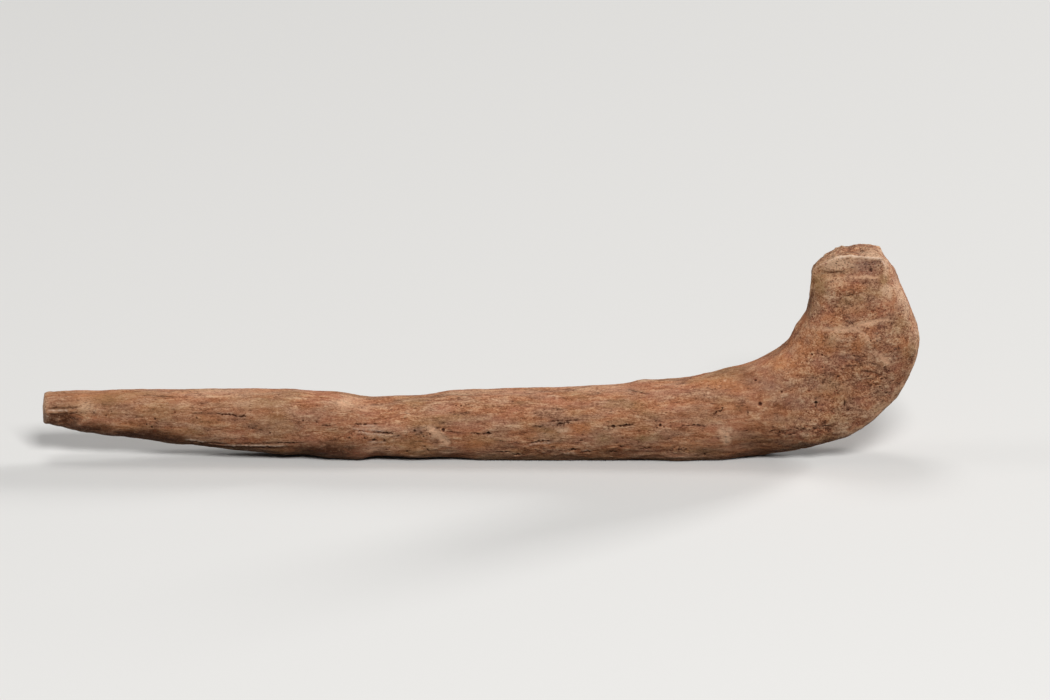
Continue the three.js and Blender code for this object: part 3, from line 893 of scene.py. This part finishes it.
def work_surface(hook, rng):
    """Grain, cracks, pits, scratches and the rough break, and the masks that colour them."""
    surface = Surface(hook.data)
    cracks = all_cracks(surface, hook.data, rng)
    scratches_and_rims = drawn_marks(surface, SCRATCHES_AND_RIM_HIGHLIGHTS)
    edges = drawn_marks(surface, EDGES)
    refine_near(hook, cracks, REFINED_REACH)
    mesh = hook.data
    points = read_points(mesh)
    normals = read_normals(mesh)
    crack_gap, crack_half, crack_depth, crack_soil = cracks.measure(points, MARK_REACH)
    scratch_gap, scratch_half, scratch_depth, _ = scratches_and_rims.measure(points, MARK_REACH)
    edge_gap, edge_half, edge_height, _ = edges.measure(points, MARK_REACH)
    crack = line_mask(crack_gap, crack_half * CRACK_SPREAD, THINNEST_CRACK)
    scratch_and_rim_highlight = line_mask(scratch_gap, scratch_half * SCRATCH_SPREAD, THINNEST_LINE, SCRATCH_CORE)
    edge = line_mask(edge_gap, edge_half * EDGE_SPREAD, THINNEST_LINE)
    end_face = smooth_step(-normals[:, 0], *SQUARE_FACE)
    end_face *= falloff(points[:, 0] - cad_low[0], END_PALE)

    short = smooth_step(points[:, 0], *GRAIN_ENDS)
    grain = relief(points, *SHANK_RELIEF) * (1 - short) + relief(points, *BEND_RELIEF) * short
    flat_break = smooth_step(normals[:, 2], *SQUARE_FACE)
    flat_break *= smooth_step(points[:, 2], *TORN_HEIGHTS)
    rough = spots_mask(surface, points, ROUGH_PLACES)

    height = GRAIN_HEIGHT * grain * (1 - flat_break)
    height += TORN_HEIGHT * relief(points, *TORN_RELIEF) * flat_break
    height += ROUGH_HEIGHT * wander(points, ROUGH_GRIT) * rough
    raised = height * MM - crack * crack_depth - scratch_and_rim_highlight * scratch_depth + edge * edge_height
    raised -= ledge_drop(surface, points, normals)
    points += normals * raised[:, None]
    stay_on_floor(points)
    write_points(mesh, points)

    soiled = crack_soil > 0
    soil_reach = crack_half * CRACK_SPREAD + np.where(soiled, crack_soil, 1)
    soil = falloff(crack_gap, soil_reach) * soiled
    # The pale edges, and the line end's face painted paler: paler cut bone with a painted highlight
    pale_and_highlit = np.maximum(edge, END_PALENESS * end_face)
    masks = {"crack": crack, "soil": soil, "scratch_and_rim_highlight": scratch_and_rim_highlight, "edge": pale_and_highlit,
             "broken": flat_break, "rough": rough}
    for name, (rounds, full_height) in (("worn", WORN), ("proud", PROUD)):
        masks[name] = 0.5 + bulge(mesh, rounds) / full_height
    for name, spots in STAINS_AND_PAINTED_LIGHT.items():
        masks[name] = spots_mask(surface, points, spots)
    for name, values in masks.items():
        write_mask(mesh, name, values)


def make_hook():
    rng = random.Random(SEED)
    hook = copy_of_node("hook_body", "bone_hook")
    lengthen_arm(hook)
    apply_modifier(hook, "even_mesh", "REMESH", mode="VOXEL", voxel_size=CARVING_VOXEL)
    apply_modifier(hook, "soften", "SMOOTH", factor=0.5, iterations=5)
    carve_form(hook, rng)
    apply_modifier(hook, "fine_mesh", "REMESH", mode="VOXEL", voxel_size=SURFACE_VOXEL)
    cut_break(hook)
    apply_modifier(hook, "even_break", "REMESH", mode="VOXEL", voxel_size=SURFACE_VOXEL)
    work_surface(hook, rng)
    hook.data.calc_loop_triangles()
    share = MOST_TRIANGLES / len(hook.data.loop_triangles)
    apply_modifier(hook, "thin_out", "DECIMATE", ratio=min(1, share))
    select_only(hook)
    bpy.ops.object.shade_smooth()
    return hook


class Value:
    """The output of a shader node. Arithmetic with values adds Math nodes."""

    def __init__(self, finish, socket):
        self.finish = finish
        self.socket = socket

    def math(self, operation, *others):
        inputs = dict(enumerate((self, *others)))
        return self.finish.add("Math", inputs, operation=operation)

    def __add__(self, other):
        return self.math("ADD", other)

    def __sub__(self, other):
        return self.math("SUBTRACT", other)

    def __rsub__(self, other):
        return self.finish.add("Math", {0: other, 1: self}, operation="SUBTRACT")

    def __mul__(self, other):
        return self.math("MULTIPLY", other)

    __radd__ = __add__
    __rmul__ = __mul__

    def step(self, low, high):
        """0 up to low and 1 from high, smooth between them."""
        inputs = {"Value": self, "From Min": low, "From Max": high}
        return self.finish.add("MapRange", inputs, interpolation_type="SMOOTHSTEP")


class Finish:
    """A material that is built node by node."""

    def __init__(self, name):
        self.material = bpy.data.materials.new(name)
        self.material.use_nodes = True
        self.tree = self.material.node_tree
        self.tree.nodes.clear()

    def add(self, kind, inputs, output=0, stops=None, **settings):
        node = self.tree.nodes.new("ShaderNode" + kind)
        for setting, value in settings.items():
            setattr(node, setting, value)
        if stops:
            ramp = node.color_ramp
            while len(ramp.elements) < len(stops):
                ramp.elements.new(0.5)
            for element, (place, colour) in zip(ramp.elements, stops):
                element.position = place
                element.color = colour
        for name, value in inputs.items():
            if isinstance(value, Value):
                self.tree.links.new(value.socket, node.inputs[name])
            else:
                node.inputs[name].default_value = value
        return Value(self, node.outputs[output]) if len(node.outputs) else None

    def mix(self, under, over, share):
        """One colour over another. Sockets 6 and 7 are the Mix node's colours."""
        inputs = {"Factor": share, 6: under, 7: over}
        return self.add("Mix", inputs, output=2, data_type="RGBA")

    def ramp(self, value, stops):
        return self.add("ValToRGB", {"Fac": value}, stops=stops)

    def mask(self, name):
        return self.add("Attribute", {}, output=2, attribute_name=name)

    def stretched(self, along, across):
        """Object coordinates in units of the given lengths, in millimetres."""
        place = self.add("TexCoord", {}, output=3)
        scale = (1 / (along * MM), 1 / (across * MM), 1 / (across * MM))
        return self.add("VectorMath", {0: place, 1: scale}, operation="MULTIPLY")

    def noise(self, along, across, detail=4.0, roughness=0.55):
        inputs = {"Vector": self.stretched(along, across), "Scale": 1.0}
        inputs |= {"Detail": detail, "Roughness": roughness}
        return self.add("TexNoise", inputs)

    def cells(self, along, across):
        inputs = {"Vector": self.stretched(along, across), "Scale": 1.0}
        return self.add("TexVoronoi", inputs)

    def finish(self, shader):
        self.add("OutputMaterial", {"Surface": shader})
        return self.material


def colour(red, green, blue):
    """A colour as a paint card gives it, 0 to 255, for a shader."""
    return (*[((v / 255 + 0.055) / 1.055) ** 2.4 for v in (red, green, blue)], 1)


EARTH = colour(76, 42, 25)
# A dark umber for the painted shade along the belly, under the line end and over the left end, and for a
# few dark stains
UMBER_SHADE_AND_STAIN = colour(70, 34, 11)
SOOT = colour(62, 30, 12)
RUST = colour(134, 68, 42)
ORANGE = colour(200, 130, 82)
OLIVE = colour(166, 128, 84)
PINK = colour(186, 120, 93)
LILAC = colour(144, 112, 98)
TAN = colour(172, 134, 106)
PALE = colour(222, 180, 146)
SCRAPED_AND_HIGHLIT = colour(226, 176, 140)
BARE = colour(240, 208, 182)

# The bone's tones from dark to pale where it is warm, and where it is dulled
WARM_TONES = [(0.3, EARTH), (0.41, colour(146, 90, 56)), (0.5, colour(172, 111, 76)),
              (0.58, colour(191, 133, 95)), (0.72, colour(221, 175, 136))]
DULL_TONES = [(0.3, EARTH), (0.41, colour(137, 94, 70)), (0.5, colour(162, 116, 88)),
              (0.58, colour(182, 135, 104)), (0.72, colour(216, 177, 144))]

# The stains, painted shade and painted highlights in the order they are laid on, each with the most that
# it covers
STAIN_AND_PAINTED_LIGHT_COLOURS = {
    "warm": (ORANGE, 0.6),
    "olive": (OLIVE, 0.8),
    "grey": (LILAC, 0.6),
    # Painted shade along the underside and over the left end, with a few dark stains
    "shade_and_dark_stain": (UMBER_SHADE_AND_STAIN, 0.95),
    "red": (RUST, 0.8),
    # Pale patches, and painted highlights along the top edge, the arm's right edge and the heel
    "pale_and_highlit": (PALE, 0.9),
}


def bone_finish():
    bone = Finish("weathered_bone_and_painted_light")
    place = bone.add("SeparateXYZ", {"Vector": bone.add("TexCoord", {}, output=3)})
    short = place.step(*GRAIN_ENDS)
    broken = bone.mask("broken")
    worn = bone.mask("worn")
    proud = bone.mask("proud")

    def grained(shank, bend, **settings):
        """Noise drawn out along the shank, and rounder where the grain is cut across."""
        drawn = bone.noise(*shank, **settings)
        return drawn + (bone.noise(*bend, **settings) - drawn) * short

    patches = grained((1.9, 0.7), (1.3, 1.0), detail=6.0, roughness=0.8)
    warmth = grained((3.4, 1.1), (2.0, 1.3), detail=3.0, roughness=0.5)
    hues = grained((4.4, 1.6), (2.6, 2.0), detail=2.0, roughness=0.5)
    fibres = grained((0.9, 0.14), (0.4, 0.24), detail=4.0, roughness=0.75)
    grit = grained((0.24, 0.13), (0.18, 0.15), detail=3.0, roughness=0.8)
    edges = bone.noise(0.6, 0.35, detail=5.0, roughness=0.7)
    rough = bone.mask("rough").math("MAXIMUM", broken * 0.6)

    shade = patches * 0.5 + fibres * 0.32 + grit * 0.24 - 0.03
    shade = (shade - 0.5) * (1.75 + 0.7 * short) + (worn - 0.5) * 0.25 + (proud - 0.5) * 0.25
    warm_tone = bone.ramp(shade + 0.5, WARM_TONES)
    dull_tone = bone.ramp(shade + 0.5, DULL_TONES)
    tone = bone.mix(warm_tone, dull_tone, warmth.step(0.36, 0.64))
    tone = bone.mix(tone, OLIVE, hues.step(0.5, 0.7) * 0.35)
    tone = bone.mix(tone, PINK, (1 - hues.step(0.3, 0.5)) * 0.4)

    # Lays stains, painted shade and painted highlights over the tone, broken up by noise.
    def stain_shade_or_highlight(under, over, name, most):
        share = bone.mask(name) * (2.4 * edges + 1.6 * grit - 1)
        return bone.mix(under, over, share.step(0.05, 1.1) * most)

    for name, (stain_or_light_colour, most) in STAIN_AND_PAINTED_LIGHT_COLOURS.items():
        tone = stain_shade_or_highlight(tone, stain_or_light_colour, name, most)
    tone = bone.mix(tone, TAN, broken * 0.15)

    spread = bone.noise(1.8, 1.3).step(0.42, 0.6).math("MAXIMUM", rough)
    dots = (1 - bone.cells(0.55, 0.45).step(0.1, 0.26)) * spread
    dashes = (1 - bone.cells(1.1, 0.24).step(0.1, 0.24)) * spread
    tone = bone.mix(tone, RUST, dots * short * 0.8)
    tone = bone.mix(tone, EARTH, dashes * (1 - short) * 0.7)
    holes = (1 - bone.cells(0.36, 0.28).step(0.14, 0.36)) * rough
    tone = bone.mix(tone, EARTH, holes * 0.85)
    tone = bone.mix(tone, EARTH, (1 - grit.step(0.34, 0.46)) * (0.52 + 0.16 * short))
    tone = bone.mix(tone, PALE, grit.step(0.56, 0.7) * (0.42 + 0.2 * short))
    tone = stain_shade_or_highlight(tone, EARTH, "soil", 0.35)
    # Pale scratches, and the painted highlight on the rim round the heel and the arm's right edge
    tone = bone.mix(tone, SCRAPED_AND_HIGHLIT, bone.mask("scratch_and_rim_highlight") * (0.1 + 1.3 * edges))
    tone = bone.mix(tone, BARE, bone.mask("edge") * (0.25 + 1.3 * edges))
    tone = bone.mix(tone, SOOT, bone.mask("crack").step(0.2, 0.9) * (0.45 + 0.8 * edges))

    roughness = 0.82 - worn.step(0.55, 0.8) * 0.2
    relief = fibres * 0.5 + patches * 0.6 + grit * 0.6 - dots * short * 0.4 - holes * 0.5
    bump = bone.add("Bump", {"Strength": 1.0, "Distance": 0.08 * MM, "Height": relief})
    inputs = {"Base Color": tone, "Roughness": roughness, "Normal": bump}
    inputs["Specular IOR Level"] = 0.25
    return bone.finish(bone.add("BsdfPrincipled", inputs))


# The floor as it is seen, and the duller tone with which it lights the hook from below
FLOOR_SIZE = 4
FLOOR_SEEN = (0.8, 0.79, 0.77, 1)
FLOOR_BOUNCE = (0.045, 0.045, 0.045, 1)

# A lamp's place and size in metres, and its power in watts
LAMPS = {
    "key": ((0.17, -0.66, 0.62), 0.3, 6.8),
    "overhead": ((-0.1, 0.3, 0.75), 0.3, 1.2),
    "fill": ((-0.8, 0.0, 0.22), 0.2, 1.2),
    "rim": ((0.7, 0.5, 0.3), 0.2, 5.0),
}
WORLD_COLOUR = (1, 1, 1, 1)
WORLD_LIGHT = 0.06


def add_floor():
    bpy.ops.object.select_all(action="DESELECT")
    bpy.ops.mesh.primitive_plane_add(size=FLOOR_SIZE)
    floor = bpy.context.active_object
    floor.name = "floor"
    paint = Finish("pale_floor")
    camera = paint.add("LightPath", {}, output="Is Camera Ray")
    glossy = paint.add("LightPath", {}, output="Is Glossy Ray")
    clear = paint.add("LightPath", {}, output="Is Transmission Ray")
    seen = camera.math("MAXIMUM", glossy).math("MAXIMUM", clear)
    tone = paint.mix(FLOOR_BOUNCE, FLOOR_SEEN, seen)
    shader = paint.add("BsdfDiffuse", {"Color": tone})
    floor.data.materials.append(paint.finish(shader))


def add_lamp(name, place, size, power):
    data = bpy.data.lights.new(name, "AREA")
    data.size = size
    data.energy = power
    lamp = bpy.data.objects.new(name, data)
    lamp.location = place
    lamp.rotation_euler = Vector(place).to_track_quat("Z", "Y").to_euler()
    bpy.context.scene.collection.objects.link(lamp)


def light_scene():
    for name, (place, size, power) in LAMPS.items():
        add_lamp(name, place, size, power)
    world = bpy.data.worlds.new("studio")
    world.use_nodes = True
    background = world.node_tree.nodes["Background"]
    background.inputs["Color"].default_value = WORLD_COLOUR
    background.inputs["Strength"].default_value = WORLD_LIGHT
    bpy.context.scene.world = world
    bpy.context.scene.view_settings.view_transform = "Standard"


make_camera()
bone_hook = make_hook()
bone_hook.data.materials.append(bone_finish())
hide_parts("hook_body")
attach(bone_hook, "root")
add_floor()
light_scene()
